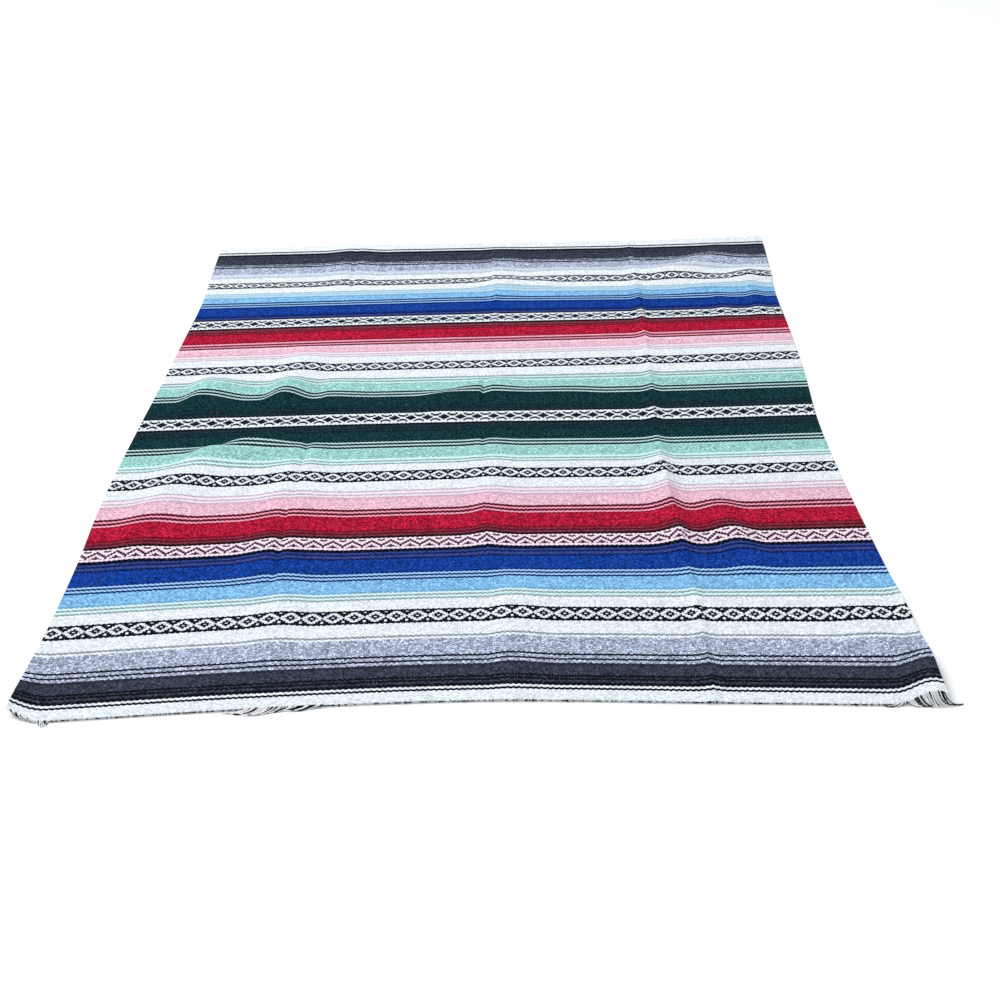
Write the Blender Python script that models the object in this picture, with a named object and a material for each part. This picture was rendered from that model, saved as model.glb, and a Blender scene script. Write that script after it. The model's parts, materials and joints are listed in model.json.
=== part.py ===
"""A striped serape blanket lying flat: one woven panel, and the warp ends folded under its hems.

Metres, +Z up. The warp runs along Y, from the near hem (-Y) to the far hem (+Y), and the courses of
the weave run across it, from the left selvedge (-X) to the right one. The cloth rests on z = 0.
"""
from collections import namedtuple

import bmesh
import bpy
import numpy as np

# Driving dimensions.
CLOTH_LENGTH = 1.84
CLOTH_WIDTH = 1.262
CLOTH_WALL = 0.0025
SKEW = 0.055            # how far a course climbs towards +Y for each metre towards +X
FRINGE_WALL = 0.0018
SEAM_GAP = 0.0003       # between the fringe and the hem that lies on it
FRINGE_TUCK = 0.065     # how far the warp ends run back under their hem
FRINGE_INSET = 0.004    # share of the width that each selvedge stands past the fringe
HEM_FLAT = 0.070        # stretch of hem held level by the fringe below it
HEM_FALL = 0.050        # stretch over which the cloth then sinks to the ground

# The middle of the near hem, seen from the part's origin.
HEM_X = -0.0014
HEM_Y = -0.9118

# Where the weave lies. Each row is one course, `along` metres from the near hem on the middle warp:
# the x of its two selvedges, and how far it lags the straight skewed line at four places across.
Course = namedtuple("Course", "along left_x right_x left quarter three_quarter right")
COURSES = (
    Course(0.00, -0.634, 0.619, -0.019, -0.003, -0.022, -0.046),
    Course(0.20, -0.631, 0.618, -0.020, -0.002, -0.018, -0.036),
    Course(0.40, -0.630, 0.609, -0.017, -0.003, -0.010, -0.014),
    Course(0.60, -0.636, 0.601, -0.014, -0.004, -0.008, -0.005),
    Course(0.85, -0.632, 0.599, -0.008, 0.000, -0.008, -0.005),
    Course(1.06, -0.626, 0.611, -0.006, -0.001, 0.000, 0.008),
    Course(1.29, -0.621, 0.617, -0.014, -0.003, 0.004, 0.015),
    Course(1.49, -0.617, 0.619, -0.011, -0.005, -0.006, -0.002),
    Course(1.71, -0.625, 0.634, -0.006, -0.002, -0.002, 0.006),
    Course(1.84, -0.627, 0.639, -0.008, -0.001, -0.002, 0.013),
)
EDGE_BOW_POWER = 3      # the bow of the right selvedge dies away inwards by this power

# The tip of the near left corner is turned under along a slant.
CORNER_SHARE = 0.040    # how far across the slant starts
CORNER_DEPTH = 0.007    # how far up the selvedge it ends

# Both near corners are pushed up the cloth: the share of the width where that is strongest, how far
# it is felt across (a share) and along (metres), and how far the hem is moved there.
Push = namedtuple("Push", "share across along rise")
LEFT_PUSH = Push(0.0, 0.042, 0.115, 0.021)
RIGHT_PUSH = Push(0.985, 0.052, 0.090, 0.0100)

# Pressed creases on the three lines where the blanket was stored folded in four: the share of the
# width they lie at, the stretch they run over, and their reach to each side. Ridges are positive.
Crease = namedtuple("Crease", "share start end left right height")
CREASES = (
    Crease(0.243, 0.26, 0.62, 0.016, 0.014, -0.0045),
    Crease(0.249, 0.54, 1.04, 0.016, 0.014, -0.0045),
    Crease(0.25, 1.10, 1.50, 0.016, 0.014, -0.0015),
    Crease(0.25, 1.48, 1.84, 0.018, 0.016, -0.0040),
    Crease(0.498, 0.06, 0.56, 0.008, 0.010, -0.0025),
    Crease(0.50, 0.36, 0.60, 0.030, 0.034, 0.0045),
    Crease(0.497, 0.62, 1.26, 0.014, 0.014, -0.0030),
    Crease(0.491, 0.92, 1.12, 0.010, 0.009, -0.0060),
    Crease(0.50, 1.26, 1.84, 0.014, 0.022, 0.0025),
    Crease(0.75, -0.06, 0.40, 0.030, 0.022, 0.0045),
    Crease(0.75, 0.30, 0.86, 0.048, 0.026, 0.0090),
    Crease(0.75, 0.76, 1.16, 0.030, 0.024, 0.0060),
    Crease(0.75, 1.06, 1.66, 0.026, 0.022, 0.0060),
    Crease(0.75, 1.56, 1.84, 0.030, 0.026, 0.0035),
)

# Folds, each a soft ridge. (x, y) is its middle, measured from the middle of the near hem, and its
# crest runs at `bearing` degrees from +Y towards +X. `left` and `right` are its reaches to the two
# sides of the crest.
Fold = namedtuple("Fold", "x y length left right height bearing")
FOLDS = (
    # Swells beside the stored creases.
    Fold(-0.330, 0.45, 0.40, 0.075, 0.060, 0.0080, 0),
    Fold(-0.325, 0.68, 0.26, 0.075, 0.065, 0.0060, 0),
    Fold(-0.315, 1.69, 0.40, 0.080, 0.070, 0.0050, 0),
    Fold(0.032, 0.18, 0.42, 0.035, 0.075, 0.0045, 0),
    Fold(-0.300, 0.22, 0.34, 0.060, 0.055, 0.0045, 0),
    Fold(-0.280, 0.47, 0.36, 0.045, 0.060, 0.0035, 0),
    Fold(0.005, 0.62, 0.60, 0.060, 0.055, 0.0040, 0),
    Fold(0.028, 1.64, 0.40, 0.060, 0.065, 0.0045, 0),
    Fold(0.305, 0.55, 0.50, 0.060, 0.035, 0.0045, 0),
    # Soft humps left of the middle.
    Fold(-0.535, 0.980, 0.20, 0.050, 0.090, 0.0155, 6),
    Fold(-0.382, 0.985, 0.17, 0.048, 0.055, 0.0165, 4),
    Fold(-0.366, 1.12, 0.20, 0.060, 0.065, 0.0060, 6),
    Fold(-0.448, 0.757, 0.24, 0.030, 0.100, 0.0160, 55),
    Fold(-0.528, 0.59, 0.36, 0.070, 0.075, 0.0090, 8),
    Fold(-0.545, 0.42, 0.16, 0.060, 0.060, 0.0040, 0),
    Fold(-0.300, 0.990, 0.20, 0.030, 0.090, 0.0040, 0),
    Fold(-0.045, 0.995, 0.24, 0.040, 0.085, 0.0090, 58),
    Fold(0.095, 1.000, 0.26, 0.038, 0.065, 0.0050, 84),
    # Soft humps right of the middle.
    Fold(0.388, 0.465, 0.32, 0.048, 0.052, 0.0100, -7),
    Fold(0.460, 1.705, 0.31, 0.055, 0.085, 0.0110, 42),
    Fold(0.195, 1.645, 0.26, 0.045, 0.050, 0.0050, 88),
    Fold(0.355, 1.655, 0.15, 0.045, 0.050, 0.0060, 78),
    Fold(0.582, 1.635, 0.12, 0.055, 0.060, 0.0070, 84),
    Fold(0.050, 1.572, 0.22, 0.034, 0.045, 0.0070, 86),
    Fold(0.500, 1.560, 0.22, 0.045, 0.050, 0.0050, 70),
    Fold(0.572, 1.530, 0.36, 0.026, 0.030, 0.0040, 2),
    Fold(0.492, 1.450, 0.18, 0.026, 0.030, 0.0028, 0),
    # Edges that curl off the ground.
    Fold(0.606, 0.03, 0.25, 0.048, 0.055, 0.0150, 4),
    Fold(0.632, 0.19, 0.30, 0.046, 0.050, 0.0085, 0),
    Fold(0.562, 0.18, 0.18, 0.075, 0.060, 0.0042, 0),
    Fold(-0.655, 0.02, 0.30, 0.060, 0.065, 0.0090, -8),
)

# Warp ends that show past the near hem: the share of the width where each tuft lies, and its reach.
Tuft = namedtuple("Tuft", "middle half_width reach")
TUFTS = (
    Tuft(0.045, 0.035, 0.020),
    Tuft(0.285, 0.060, 0.018),
    Tuft(0.965, 0.050, 0.024),
)
FRINGE_PEEP = 0.002     # how far the warp ends stand past the hem before they turn under it

# The grid that the cloth is drawn on.
EVEN_COLUMNS = 28
EVEN_ROWS = 40
CREASE_COLUMNS = (0.012, 0.024, 0.238, 0.244, 0.262, 0.484, 0.491, 0.498, 0.512, 0.728, 0.740, 0.762)
FRINGE_COLUMNS = 48

# Plain finishes: a colour, and how rough it is.
CLOTH_COLOUR = (0.46, 0.44, 0.47)
CLOTH_ROUGHNESS = 0.9
YARN_COLOUR = (0.33, 0.33, 0.34)
YARN_ROUGHNESS = 0.85


def smooth_piece(low, high, start, end, t):
    """Read a cubic from `low` to `high`, with those slopes at its two ends, at 0 <= t <= 1."""
    rise = high - low
    return low + t * start + t**2 * (3 * rise - 2 * start - end) + t**3 * (start + end - 2 * rise)


def curve(stations, values, places):
    """Read a smooth curve through (station, value) pairs: cubic pieces with averaged slopes."""
    stations = np.asarray(stations, float)
    values = np.asarray(values, float)
    slopes = np.gradient(values, stations)
    piece = np.clip(np.searchsorted(stations, places) - 1, 0, len(stations) - 2)
    span = stations[piece + 1] - stations[piece]
    t = (places - stations[piece]) / span
    return smooth_piece(values[piece], values[piece + 1], slopes[piece] * span, slopes[piece + 1] * span, t)


def lag_at(share, along):
    """Give how far a course lags its straight line, from its five stations across the cloth."""
    stations = [course.along for course in COURSES]
    lags = np.stack([
        curve(stations, [course.left for course in COURSES], along),
        curve(stations, [course.quarter for course in COURSES], along),
        np.zeros_like(along),
        curve(stations, [course.three_quarter for course in COURSES], along),
        curve(stations, [course.right for course in COURSES], along),
    ])
    slopes = np.gradient(lags, axis=0)
    pieces = len(lags) - 1
    piece = np.clip((share * pieces).astype(int), 0, pieces - 1)[np.newaxis]
    low = np.take_along_axis(lags, piece, axis=0)[0]
    high = np.take_along_axis(lags, piece + 1, axis=0)[0]
    start = np.take_along_axis(slopes, piece, axis=0)[0]
    end = np.take_along_axis(slopes, piece + 1, axis=0)[0]
    return smooth_piece(low, high, start, end, share * pieces - piece[0])


def weave_place(share, along):
    """Give x and y of the point `share` of the way across and `along` metres up the cloth."""
    share, along = np.broadcast_arrays(share, along)
    stations = [course.along for course in COURSES]
    on_cloth = np.clip(along, 0.0, CLOTH_LENGTH)
    left_x = curve(stations, [course.left_x for course in COURSES], on_cloth)
    right_x = curve(stations, [course.right_x for course in COURSES], on_cloth)
    bow = right_x - left_x - CLOTH_WIDTH
    x = left_x + share * CLOTH_WIDTH + bow * share**EDGE_BOW_POWER
    left = pinch((share - LEFT_PUSH.share) / LEFT_PUSH.across) * fade(on_cloth / LEFT_PUSH.along)
    right = swell((share - RIGHT_PUSH.share) / RIGHT_PUSH.across) * fade(on_cloth / RIGHT_PUSH.along)
    rise = LEFT_PUSH.rise * left + RIGHT_PUSH.rise * right
    return x, along + SKEW * x + lag_at(share, on_cloth) + rise


def swell(distance):
    """Fall smoothly from 1 at distance 0 to exactly 0 at distance 1 and beyond."""
    return 0.5 + 0.5 * np.cos(np.pi * np.minimum(np.abs(distance), 1.0))


def pinch(distance):
    """Fall from a sharp 1 at distance 0 to 0 at distance 1 and beyond."""
    return (1.0 - np.minimum(np.abs(distance), 1.0))**2


def fade(distance):
    """Fall evenly from 1 at distance 0 to 0 at distance 1 and beyond."""
    return np.maximum(1.0 - distance, 0.0)


def fold_height(share, along, x, y):
    """Add up how far the creases and folds lift the cloth, never below the ground."""
    height = np.zeros_like(x)
    for crease in CREASES:
        across = (share - crease.share) * CLOTH_WIDTH
        reach = np.where(across < 0, crease.left, crease.right)
        middle = (crease.start + crease.end) / 2
        from_middle = (along - middle) / (crease.end - middle)
        height += crease.height * pinch(across / reach) * swell(from_middle**2)
    for fold in FOLDS:
        bearing = np.radians(fold.bearing)
        across = (x - fold.x) * np.cos(bearing) - (y - fold.y) * np.sin(bearing)
        up_crest = (x - fold.x) * np.sin(bearing) + (y - fold.y) * np.cos(bearing)
        reach = np.where(across < 0, fold.left, fold.right)
        height += fold.height * swell(across / reach) * swell((up_crest / (fold.length / 2))**2)
    return np.maximum(height, 0.0)


def hem_lift(along):
    """Hold the cloth clear of the fringe at both hems, and let it down to the ground past it."""
    from_hem = np.minimum(along, CLOTH_LENGTH - along)
    sunk = np.maximum(from_hem - HEM_FLAT, 0.0) / HEM_FALL
    return (FRINGE_WALL + SEAM_GAP) * swell(sunk)


def near_hem(share):
    """Give how far up the cloth its near edge lies, with the corner that is turned under."""
    return CORNER_DEPTH * np.maximum(1.0 - share / CORNER_SHARE, 0.0)


def far_hem(share):
    """Give how far up the cloth its far edge lies."""
    return np.full_like(share, CLOTH_LENGTH)


def make_material(name, colour, roughness):
    """Give a plain finish in one colour."""
    material = bpy.data.materials.new(name)
    material.use_nodes = True
    shader = material.node_tree.nodes["Principled BSDF"]
    shader.inputs["Base Color"].default_value = (*colour, 1.0)
    shader.inputs["Roughness"].default_value = roughness
    shader.inputs["Metallic"].default_value = 0.0
    return material


def add_wall(name, x, y, z, wall, material):
    """Make a closed wall of even height on a grid of underside points."""
    rows, columns = x.shape
    bm = bmesh.new()
    points = [bm.verts.new(place) for place in zip(x.ravel() + HEM_X, y.ravel() + HEM_Y, z.ravel())]
    for row in range(rows - 1):
        for column in range(columns - 1):
            corner = row * columns + column
            bm.faces.new([points[corner], points[corner + columns],
                          points[corner + columns + 1], points[corner + 1]])
    top = bmesh.ops.extrude_face_region(bm, geom=bm.faces[:])["geom"]
    raised = [item for item in top if isinstance(item, bmesh.types.BMVert)]
    bmesh.ops.translate(bm, verts=raised, vec=(0.0, 0.0, wall))
    bmesh.ops.recalc_face_normals(bm, faces=bm.faces[:])
    bmesh.ops.triangulate(bm, faces=bm.faces[:])

    mesh = bpy.data.meshes.new(name)
    bm.to_mesh(mesh)
    bm.free()
    mesh.materials.append(material)
    piece = bpy.data.objects.new(name, mesh)
    bpy.context.scene.collection.objects.link(piece)
    return piece


def make_cloth_panel():
    """The woven panel, with rows set close at the hems and columns at the stored creases."""
    shares = np.union1d(np.linspace(0.0, 1.0, EVEN_COLUMNS + 1), CREASE_COLUMNS)
    hem_rows = np.array([0.0, HEM_FLAT / 2, HEM_FLAT, HEM_FLAT + HEM_FALL / 2])
    inner_rows = np.linspace(HEM_FLAT + HEM_FALL, CLOTH_LENGTH - HEM_FLAT - HEM_FALL, EVEN_ROWS + 1)
    alongs = np.concatenate([hem_rows, inner_rows, (CLOTH_LENGTH - hem_rows)[::-1]])
    share, along = np.meshgrid(shares, alongs)
    along += near_hem(share) * np.maximum(1.0 - along / HEM_FLAT, 0.0)
    x, y = weave_place(share, along)
    z = fold_height(share, along, x, y) + hem_lift(along)
    weave = make_material("striped_weave", CLOTH_COLOUR, CLOTH_ROUGHNESS)
    return add_wall("cloth_panel", x, y, z, CLOTH_WALL, weave)


def make_fringe(name, hem, inwards, tufts):
    """A thin mat of warp ends under one hem, with a lobe past it for each tuft that shows."""
    share = np.linspace(FRINGE_INSET, 1.0 - FRINGE_INSET, FRINGE_COLUMNS + 1)
    reach = np.full_like(share, FRINGE_PEEP)
    for tuft in tufts:
        reach = np.maximum(reach, tuft.reach * swell((share - tuft.middle) / tuft.half_width))
    outer = hem(share) - inwards * reach
    inner = np.full_like(share, hem(0.5) + inwards * FRINGE_TUCK)
    alongs = np.stack([outer, hem(share), inner])
    x, y = weave_place(np.broadcast_to(share, alongs.shape), alongs)
    yarn = make_material("warp_yarn", YARN_COLOUR, YARN_ROUGHNESS)
    return add_wall(name, x, y, np.zeros_like(x), FRINGE_WALL, yarn)


for leftover in list(bpy.data.objects):
    bpy.data.objects.remove(leftover, do_unlink=True)

make_cloth_panel()
make_fringe("fringe_near", near_hem, 1, TUFTS)
make_fringe("fringe_far", far_hem, -1, ())
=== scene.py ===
# %% [markdown]
# # A striped serape blanket, laid flat
#
# A serape is one web of heavy wool-like cloth, straight off the loom: a weft-faced weave in which the
# coloured weft hides the warp. This lesson builds one that was stored folded in four, shaken out and
# laid on the ground. The blanket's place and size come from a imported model, the frame. The script adds
# the looks: the sheet with its creases, the weave and its stripes, and the warp ends at the two hems.

# %% Load the frame
import json
import math
from collections import namedtuple

import bpy
import numpy as np
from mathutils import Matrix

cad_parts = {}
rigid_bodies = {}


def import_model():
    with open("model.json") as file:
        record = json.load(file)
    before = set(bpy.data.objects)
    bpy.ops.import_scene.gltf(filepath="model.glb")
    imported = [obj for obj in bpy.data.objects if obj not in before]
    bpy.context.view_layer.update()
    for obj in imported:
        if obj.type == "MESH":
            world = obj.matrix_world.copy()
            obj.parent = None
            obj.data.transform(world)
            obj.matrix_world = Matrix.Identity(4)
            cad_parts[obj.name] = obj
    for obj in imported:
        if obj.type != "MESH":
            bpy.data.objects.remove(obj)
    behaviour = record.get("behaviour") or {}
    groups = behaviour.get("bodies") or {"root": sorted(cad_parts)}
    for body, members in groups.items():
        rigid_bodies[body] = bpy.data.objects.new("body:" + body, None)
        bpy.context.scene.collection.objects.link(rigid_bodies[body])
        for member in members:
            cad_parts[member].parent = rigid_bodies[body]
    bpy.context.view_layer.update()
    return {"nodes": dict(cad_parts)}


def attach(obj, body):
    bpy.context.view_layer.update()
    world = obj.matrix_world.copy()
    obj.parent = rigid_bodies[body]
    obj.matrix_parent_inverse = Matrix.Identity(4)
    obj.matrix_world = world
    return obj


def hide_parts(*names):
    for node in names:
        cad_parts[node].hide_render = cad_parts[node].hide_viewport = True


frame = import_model()
print("nodes in the frame:", sorted(frame["nodes"]))


# %% A few helpers for Blender's operators
def deselect_all():
    """Leave nothing selected, because an operator acts on all that is."""
    for thing in bpy.context.view_layer.objects:
        thing.select_set(False)


def take_new(name):
    """Name the object that an operator has just added, and its mesh with it."""
    made = bpy.context.view_layer.objects.active
    made.name = name
    made.data.name = name
    return made


def make_active(thing):
    """Select one object alone, ready for an operator."""
    deselect_all()
    thing.select_set(True)
    bpy.context.view_layer.objects.active = thing


# %% [markdown]
# ## The camera, the ground and the light
#
# The blanket is seen by someone standing at its near hem, looking down at it. A long lens would flatten
# it and a wide one would stretch the near corners, so the lens is a little longer than the eye's. The
# ground is a pale plane. A pale sky and one large soft lamp light it: the sky fills the shadows, and the
# lamp comes from one side so that the folds show.

# %% The camera
CAMERA_PLACE = (0.0186, -2.680, 1.258)
CAMERA_PITCH = math.radians(28.27)
LENS_MM = 57.8
SENSOR_MM = 36.0

camera_data = bpy.data.cameras.new("camera")
camera_data.lens = LENS_MM
camera_data.sensor_width = SENSOR_MM
camera = bpy.data.objects.new("camera", camera_data)
bpy.context.scene.collection.objects.link(camera)
camera.location = CAMERA_PLACE
camera.rotation_euler = (math.pi / 2 - CAMERA_PITCH, 0.0, 0.0)
bpy.context.scene.camera = camera
print("camera height, m:", CAMERA_PLACE[2])

# %% The ground
GROUND_SIZE = 30.0
GROUND_DROP = 0.0003    # the blanket's underside lies on z = 0, and the ground just under it
GROUND_COLOUR = (0.97, 0.97, 0.97)

deselect_all()
bpy.ops.mesh.primitive_plane_add(size=GROUND_SIZE, location=(0.0, 0.0, 0.0))
ground = take_new("ground")
ground.data.transform(ground.matrix_world)
for corner in ground.data.vertices:
    corner.co.z = -GROUND_DROP

ground_finish = bpy.data.materials.new("pale_ground")
ground_finish.use_nodes = True
ground_shader = ground_finish.node_tree.nodes["Principled BSDF"]
ground_shader.inputs["Base Color"].default_value = (*GROUND_COLOUR, 1.0)
ground_shader.inputs["Roughness"].default_value = 0.95
ground_shader.inputs["Specular IOR Level"].default_value = 0.1
ground.data.materials.append(ground_finish)

# %% The sky and the lamp
SKY_COLOUR = (0.96, 0.98, 1.0)
SKY_STRENGTH = 0.82
LAMP_PLACE = (-3.4, 1.6, 5.4)
LAMP_SIZE = 3.4
LAMP_POWER = 235.0

sky = bpy.data.worlds.new("soft_sky")
bpy.context.scene.world = sky
sky.use_nodes = True
sky_light = sky.node_tree.nodes["Background"]
sky_light.inputs["Color"].default_value = (*SKY_COLOUR, 1.0)
sky_light.inputs["Strength"].default_value = SKY_STRENGTH

lamp_data = bpy.data.lights.new("soft_lamp", "AREA")
lamp_data.shape = "DISK"
lamp_data.size = LAMP_SIZE
lamp_data.energy = LAMP_POWER
lamp = bpy.data.objects.new("soft_lamp", lamp_data)
bpy.context.scene.collection.objects.link(lamp)
lamp.location = LAMP_PLACE
to_blanket = -lamp.location
lamp.rotation_euler = to_blanket.to_track_quat("-Z", "Y").to_euler()
bpy.context.scene.view_settings.view_transform = "Standard"
print("lamp stands at", LAMP_PLACE)

# %% [markdown]
# ## The sheet
#
# A laid blanket could be dropped on the ground by the cloth simulation, but its creases are particular:
# three sharp lines where it was stored folded in four, and soft humps where air stayed under it. Each of
# those is easier to place one by one. So the sheet is a grid whose points are put where the weave lies. A
# point has two weave coordinates: its share of the way from the left selvedge to the right one, and how
# far along the warp it is from the near hem.
#
# First comes the outline. A course is one line of weft. The table gives ten of them: where each starts and
# ends, and how far it lags the straight line that a perfect weave would follow.

# %% Sizes of the weave
CLOTH_LENGTH = 1.84
CLOTH_WIDTH = 1.262
CLOTH_WALL = 0.0025
SKEW = 0.055            # how far a course climbs for each metre towards the right
HEM_X = -0.0014         # the middle of the near hem, from the frame's origin
HEM_Y = -0.9118
FRINGE_WALL = 0.0018
SEAM_GAP = 0.0003       # between the fringe and the hem that lies on it
HEM_FLAT = 0.070        # stretch of hem held level by the fringe below it
HEM_FALL = 0.050        # stretch over which the cloth then sinks to the ground

Course = namedtuple("Course", "along left_x right_x left quarter three_quarter right")
COURSES = (
    Course(0.00, -0.634, 0.619, -0.019, -0.003, -0.022, -0.046),
    Course(0.20, -0.631, 0.618, -0.020, -0.002, -0.018, -0.036),
    Course(0.40, -0.630, 0.609, -0.017, -0.003, -0.010, -0.014),
    Course(0.60, -0.636, 0.601, -0.014, -0.004, -0.008, -0.005),
    Course(0.85, -0.632, 0.599, -0.008, 0.000, -0.008, -0.005),
    Course(1.06, -0.626, 0.611, -0.006, -0.001, 0.000, 0.008),
    Course(1.29, -0.621, 0.617, -0.014, -0.003, 0.004, 0.015),
    Course(1.49, -0.617, 0.619, -0.011, -0.005, -0.006, -0.002),
    Course(1.71, -0.625, 0.634, -0.006, -0.002, -0.002, 0.006),
    Course(1.84, -0.627, 0.639, -0.008, -0.001, -0.002, 0.013),
)
EDGE_BOW_POWER = 3      # the bow of the right selvedge dies away inwards by this power
CORNER_SHARE = 0.040    # how far across the turned-under corner's slant starts
CORNER_DEPTH = 0.007    # how far up the selvedge it ends
print("courses in the table:", len(COURSES))

# Both near corners are pushed up the cloth: the share of the width where that is strongest, how far it
# is felt across (a share) and along (metres), and how far the hem is moved there.
Push = namedtuple("Push", "share across along rise")
LEFT_PUSH = Push(0.0, 0.042, 0.115, 0.021)
RIGHT_PUSH = Push(0.985, 0.052, 0.090, 0.0100)

# The ribs don't stand evenly between the selvedges. This is how far they lean towards the right one, in
# metres, at three places across.
Lean = namedtuple("Lean", "along quarter middle three_quarter")
LEANS = (
    Lean(0.00, -0.001, -0.004, -0.003),
    Lean(0.22, -0.0035, -0.007, -0.006),
    Lean(0.43, -0.0070, -0.013, -0.0150),
    Lean(0.66, -0.0080, -0.0155, -0.0150),
    Lean(0.89, -0.0115, -0.0185, -0.0170),
    Lean(1.13, -0.011, -0.017, -0.0135),
    Lean(1.37, -0.011, -0.0165, -0.0115),
    Lean(1.60, -0.0065, -0.011, -0.005),
    Lean(1.84, -0.005, -0.008, -0.002),
)


# %% Where the weave lies on the ground
def smooth_piece(low, high, start, end, t):
    """Read a cubic from `low` to `high`, with those slopes at its two ends, at 0 <= t <= 1."""
    rise = high - low
    return low + t * start + t**2 * (3 * rise - 2 * start - end) + t**3 * (start + end - 2 * rise)


def curve(stations, values, places):
    """Read a smooth curve through (station, value) pairs: cubic pieces with averaged slopes."""
    stations = np.asarray(stations, float)
    values = np.asarray(values, float)
    slopes = np.gradient(values, stations)
    piece = np.clip(np.searchsorted(stations, places) - 1, 0, len(stations) - 2)
    span = stations[piece + 1] - stations[piece]
    t = (places - stations[piece]) / span
    return smooth_piece(values[piece], values[piece + 1], slopes[piece] * span, slopes[piece + 1] * span, t)


def read_table(stations, columns, share, along):
    """Read a table whose rows stand up the cloth and whose columns stand evenly across it."""
    values = np.stack([curve(stations, column, along) for column in columns])
    slopes = np.gradient(values, axis=0)
    pieces = len(columns) - 1
    piece = np.clip((share * pieces).astype(int), 0, pieces - 1)[np.newaxis]
    low = np.take_along_axis(values, piece, axis=0)[0]
    high = np.take_along_axis(values, piece + 1, axis=0)[0]
    start = np.take_along_axis(slopes, piece, axis=0)[0]
    end = np.take_along_axis(slopes, piece + 1, axis=0)[0]
    return smooth_piece(low, high, start, end, share * pieces - piece[0])


def swell(distance):
    """Fall smoothly from 1 at distance 0 to exactly 0 at distance 1 and beyond."""
    return 0.5 + 0.5 * np.cos(np.pi * np.minimum(np.abs(distance), 1.0))


def pinch(distance):
    """Fall from a sharp 1 at distance 0 to 0 at distance 1 and beyond."""
    return (1.0 - np.minimum(np.abs(distance), 1.0))**2


def fade(distance):
    """Fall evenly from 1 at distance 0 to 0 at distance 1 and beyond."""
    return np.maximum(1.0 - distance, 0.0)


def weave_place(share, along):
    """Give x and y of the point `share` of the way across and `along` metres up the cloth."""
    share, along = np.broadcast_arrays(share, along)
    stations, left_x, right_x, left, quarter, three_quarter, right = zip(*COURSES)
    on_cloth = np.clip(along, 0.0, CLOTH_LENGTH)
    from_left = curve(stations, left_x, on_cloth)
    bow = curve(stations, right_x, on_cloth) - from_left - CLOTH_WIDTH
    x = from_left + share * CLOTH_WIDTH + bow * share**EDGE_BOW_POWER
    middle = np.zeros(len(stations))
    lag = read_table(stations, (left, quarter, middle, three_quarter, right), share, on_cloth)
    on_left = pinch((share - LEFT_PUSH.share) / LEFT_PUSH.across) * fade(on_cloth / LEFT_PUSH.along)
    on_right = swell((share - RIGHT_PUSH.share) / RIGHT_PUSH.across) * fade(on_cloth / RIGHT_PUSH.along)
    rise = LEFT_PUSH.rise * on_left + RIGHT_PUSH.rise * on_right
    return x, along + SKEW * x + lag + rise


def leaned(share, along):
    """Give the share of the way across that a rib stands at, from its even share."""
    stations, quarter, middle, three_quarter = zip(*LEANS)
    selvedge = np.zeros(len(stations))
    lean = read_table(stations, (selvedge, quarter, middle, three_quarter, selvedge), share, along)
    return share + lean / CLOTH_WIDTH


def near_hem(share):
    """Give how far up the cloth its near edge lies, with the corner that is turned under."""
    return CORNER_DEPTH * np.maximum(1.0 - share / CORNER_SHARE, 0.0)


def far_hem(share):
    """Give how far up the cloth its far edge lies."""
    return np.full_like(share, CLOTH_LENGTH)


middle_x, middle_y = weave_place(np.array([0.5]), np.array([CLOTH_LENGTH / 2]))
print("middle of the weave, mm:", round(1000 * middle_x[0], 1), round(1000 * middle_y[0], 1))

# %% [markdown]
# Next come the heights. A pressed crease is sharp: its height falls away from the line as a square of the
# distance, which leaves a point at the top. A fold with air under it is round, so it falls away as a
# cosine. Both die out gently along their length. The blanket never goes below the ground, so what is
# left under zero is cut off.

# %% Pressed creases, on the three lines where the blanket was folded for storage
Crease = namedtuple("Crease", "share start end left right height")
CREASES = (
    Crease(0.243, 0.26, 0.62, 0.016, 0.014, -0.0045),
    Crease(0.249, 0.54, 1.04, 0.016, 0.014, -0.0045),
    Crease(0.25, 1.10, 1.50, 0.016, 0.014, -0.0015),
    Crease(0.25, 1.48, 1.84, 0.018, 0.016, -0.0040),
    Crease(0.498, 0.06, 0.56, 0.008, 0.010, -0.0025),
    Crease(0.50, 0.36, 0.60, 0.030, 0.034, 0.0045),
    Crease(0.497, 0.62, 1.26, 0.014, 0.014, -0.0030),
    Crease(0.491, 0.92, 1.12, 0.010, 0.009, -0.0060),
    Crease(0.50, 1.26, 1.84, 0.014, 0.022, 0.0025),
    Crease(0.75, -0.06, 0.40, 0.030, 0.022, 0.0045),
    Crease(0.75, 0.30, 0.86, 0.048, 0.026, 0.0090),
    Crease(0.75, 0.76, 1.16, 0.030, 0.024, 0.0060),
    Crease(0.75, 1.06, 1.66, 0.026, 0.022, 0.0060),
    Crease(0.75, 1.56, 1.84, 0.030, 0.026, 0.0035),
)
print("creases:", len(CREASES))

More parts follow.
